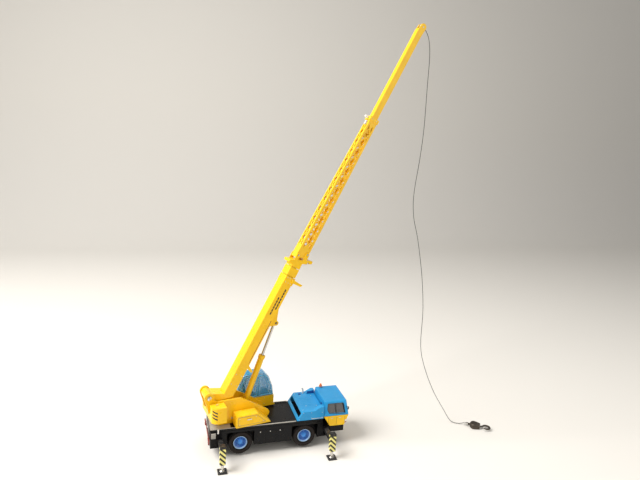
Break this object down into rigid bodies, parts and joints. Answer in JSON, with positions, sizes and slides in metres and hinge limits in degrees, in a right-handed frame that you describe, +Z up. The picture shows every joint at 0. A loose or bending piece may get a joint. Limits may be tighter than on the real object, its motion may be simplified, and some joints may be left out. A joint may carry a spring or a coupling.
{
  "type": "toy mobile crane",
  "caption": "Die-cast model truck crane on outriggers, with turning upper works, telescopic boom, lattice jib, rope and hook.",
  "frame": {"origin": "on the ground at the centre of the crane's footprint, rope and hook left out", "axes": "+X towards the driving cab, +Y to the crane's left, +Z up"},
  "size_m": [0.3658, 0.1094, 0.4969],
  "materials": {
    "yellow_paint": "gloss",
    "yellow_plastic": "satin",
    "sky_blue_paint": "gloss",
    "gloss_black_paint": "gloss",
    "black_glazing": "gloss",
    "blue_clear_plastic": "gloss",
    "tyre_rubber": "matte",
    "rim_blue_plastic": "satin",
    "bright_steel": "satin",
    "grey_plastic": "matte",
    "amber_lens": "gloss",
    "red_lens": "gloss",
    "clear_lens": "gloss",
    "white_plastic": "satin",
    "jack_cream_paint": "satin",
    "black_thread": "matte",
    "dark_cast_metal": "satin"
  },
  "bodies": {
    "carrier": {"chassis_frame": "gloss_black_paint", "deck_plate": "gloss_black_paint", "deck_edging": "grey_plastic", "slew_ring": "bright_steel", "engine_hood": "sky_blue_paint", "exhaust_stack": "bright_steel", "driver_cab": "sky_blue_paint", "driver_cab_glazing": "black_glazing", "cab_lower_panel": "yellow_paint", "headlamps": "clear_lens", "front_bumper": "gloss_black_paint", "beacon_base": "bright_steel", "beacon_lens": "amber_lens", "tail_lamp_bar": "red_lens", "side_step_left": "grey_plastic", "side_step_right": "grey_plastic"},
    "front_wheelset": {"front_axle": "bright_steel", "front_rim_left": "rim_blue_plastic", "front_rim_right": "rim_blue_plastic", "front_tyre_left": "tyre_rubber", "front_tyre_right": "tyre_rubber"},
    "rear_wheelset": {"rear_axle": "bright_steel", "rear_rim_left": "rim_blue_plastic", "rear_rim_right": "rim_blue_plastic", "rear_tyre_left": "tyre_rubber", "rear_tyre_right": "tyre_rubber"},
    "front_left_outrigger": {"outrigger_front_left": "jack_cream_paint"},
    "front_left_jack": {"jack_front_left": "bright_steel"},
    "front_right_outrigger": {"outrigger_front_right": "jack_cream_paint"},
    "front_right_jack": {"jack_front_right": "bright_steel"},
    "rear_left_outrigger": {"outrigger_rear_left": "jack_cream_paint"},
    "rear_left_jack": {"jack_rear_left": "bright_steel"},
    "rear_right_outrigger": {"outrigger_rear_right": "jack_cream_paint"},
    "rear_right_jack": {"jack_rear_right": "bright_steel"},
    "superstructure": {"turntable_frame": "yellow_paint", "slew_pin": "bright_steel", "boom_pivot_pin": "bright_steel", "side_locker": "yellow_paint", "counterweight": "yellow_paint", "crane_cab_base": "yellow_paint", "crane_cab_glass": "blue_clear_plastic", "operator_seat": "grey_plastic"},
    "winch": {"winch_drum": "bright_steel", "winch_knob": "bright_steel"},
    "boom": {"boom_base": "yellow_paint"},
    "luffing_rod": {"cylinder_rod": "bright_steel"},
    "luffing_barrel": {"cylinder_barrel": "yellow_paint"},
    "boom_middle": {"boom_middle_section": "yellow_paint"},
    "boom_head": {"boom_head_section": "yellow_paint", "lattice_jib": "yellow_plastic", "jib_pin_upper": "bright_steel", "jib_pin_lower": "bright_steel", "jib_lock_peg": "white_plastic"},
    "head_pulley": {"head_sheave": "bright_steel"},
    "jib_extension": {"jib_tip": "yellow_plastic"},
    "tip_pulley": {"tip_sheave": "bright_steel"},
    "rope_line": {"hoist_rope": "black_thread"},
    "rope_end": {"rope_end_fitting": "bright_steel"},
    "load_hook": {"hook_block": "dark_cast_metal", "hook": "dark_cast_metal"}
  },
  "joints": [
    {"name": "front_axle_spin", "type": "hinge", "parent": "carrier", "child": "front_wheelset", "pos_m": [-0.0108, 0, 0.01545], "axis": [0, 1, 0], "continuous": true},
    {"name": "rear_axle_spin", "type": "hinge", "parent": "carrier", "child": "rear_wheelset", "pos_m": [-0.0851, 0, 0.01545], "axis": [0, 1, 0], "continuous": true},
    {"name": "front_left_outrigger_slide", "type": "slide", "parent": "carrier", "child": "front_left_outrigger", "axis": [0, 1, 0], "range_m": [-0.02, 0]},
    {"name": "front_left_jack_lift", "type": "slide", "parent": "front_left_outrigger", "child": "front_left_jack", "axis": [0, 0, 1], "range_m": [0, 0.0065]},
    {"name": "front_right_outrigger_slide", "type": "slide", "parent": "carrier", "child": "front_right_outrigger", "axis": [0, -1, 0], "range_m": [-0.02, 0]},
    {"name": "front_right_jack_lift", "type": "slide", "parent": "front_right_outrigger", "child": "front_right_jack", "axis": [0, 0, 1], "range_m": [0, 0.0065]},
    {"name": "rear_left_outrigger_slide", "type": "slide", "parent": "carrier", "child": "rear_left_outrigger", "axis": [0, 1, 0], "range_m": [-0.02, 0]},
    {"name": "rear_left_jack_lift", "type": "slide", "parent": "rear_left_outrigger", "child": "rear_left_jack", "axis": [0, 0, 1], "range_m": [0, 0.0065]},
    {"name": "rear_right_outrigger_slide", "type": "slide", "parent": "carrier", "child": "rear_right_outrigger", "axis": [0, -1, 0], "range_m": [-0.02, 0]},
    {"name": "rear_right_jack_lift", "type": "slide", "parent": "rear_right_outrigger", "child": "rear_right_jack", "axis": [0, 0, 1], "range_m": [0, 0.0065]},
    {"name": "slew", "type": "hinge", "parent": "carrier", "child": "superstructure", "pos_m": [-0.0731, 0, 0], "axis": [0, 0, 1], "continuous": true},
    {"name": "winch_spin", "type": "hinge", "parent": "superstructure", "child": "winch", "pos_m": [-0.09575, -0.00399, 0.0419], "axis": [-0.1736, 0.9848, 0], "range_deg": [0, 8984]},
    {"name": "boom_luff", "type": "hinge", "parent": "superstructure", "child": "boom", "pos_m": [-0.12155, -0.00854, 0.0701], "axis": [0.1736, -0.9848, 0], "range_deg": [-40, 10]},
    {"name": "cylinder_tilt", "type": "hinge", "parent": "boom", "child": "luffing_rod", "pos_m": [-0.04523, 0.00492, 0.14608], "axis": [0.1736, -0.9848, 0], "range_deg": [-2.5, 1]},
    {"name": "cylinder_extend", "type": "slide", "parent": "luffing_rod", "child": "luffing_barrel", "axis": [-0.3291, -0.058, -0.9425], "range_m": [-0.034, 0.01]},
    {"name": "boom_middle_extend", "type": "slide", "parent": "boom", "child": "boom_middle", "axis": [0.4578, 0.0807, 0.8854], "range_m": [0, 0.09]},
    {"name": "boom_head_extend", "type": "slide", "parent": "boom_middle", "child": "boom_head", "axis": [0.4578, 0.0807, 0.8854], "range_m": [0, 0.09]},
    {"name": "head_sheave_spin", "type": "hinge", "parent": "boom_head", "child": "head_pulley", "pos_m": [-0.01063, 0.01102, 0.21494], "axis": [-0.1736, 0.9848, 0], "continuous": true},
    {"name": "jib_tip_extend", "type": "slide", "parent": "boom_head", "child": "jib_extension", "axis": [0.4578, 0.0807, 0.8854], "range_m": [-0.1, 0]},
    {"name": "tip_sheave_spin", "type": "hinge", "parent": "jib_extension", "child": "tip_pulley", "pos_m": [0.12444, 0.03483, 0.49295], "axis": [-0.1736, 0.9848, 0], "range_deg": [0, 6457]},
    {"name": "rope_swing", "type": "hinge", "parent": "jib_extension", "child": "rope_line", "pos_m": [0.12444, 0.03483, 0.49295], "axis": [0.1736, -0.9848, 0], "range_deg": [-10, 40]},
    {"name": "hook_hoist", "type": "slide", "parent": "rope_line", "child": "rope_end", "axis": [-0.1686, 0.1016, 0.9804], "range_m": [0, 0.4], "deforming": ["hoist_rope"]},
    {"name": "hook_tilt", "type": "hinge", "parent": "rope_end", "child": "load_hook", "pos_m": [0.2121, -0.0186, 0.003], "axis": [0.6157, 0.788, 0], "range_deg": [0, 90]}
  ],
  "couplings": [
    {"joint": "winch_spin", "follows": "hook_hoist", "rad_per_m": 392},
    {"joint": "tip_sheave_spin", "follows": "hook_hoist", "rad_per_m": 281.7},
    {"joint": "cylinder_tilt", "follows": "boom_luff", "ratio": 0.053},
    {"joint": "cylinder_extend", "follows": "boom_luff", "m_per_rad": 0.0466},
    {"joint": "rope_swing", "follows": "boom_luff", "ratio": -1}
  ]
}
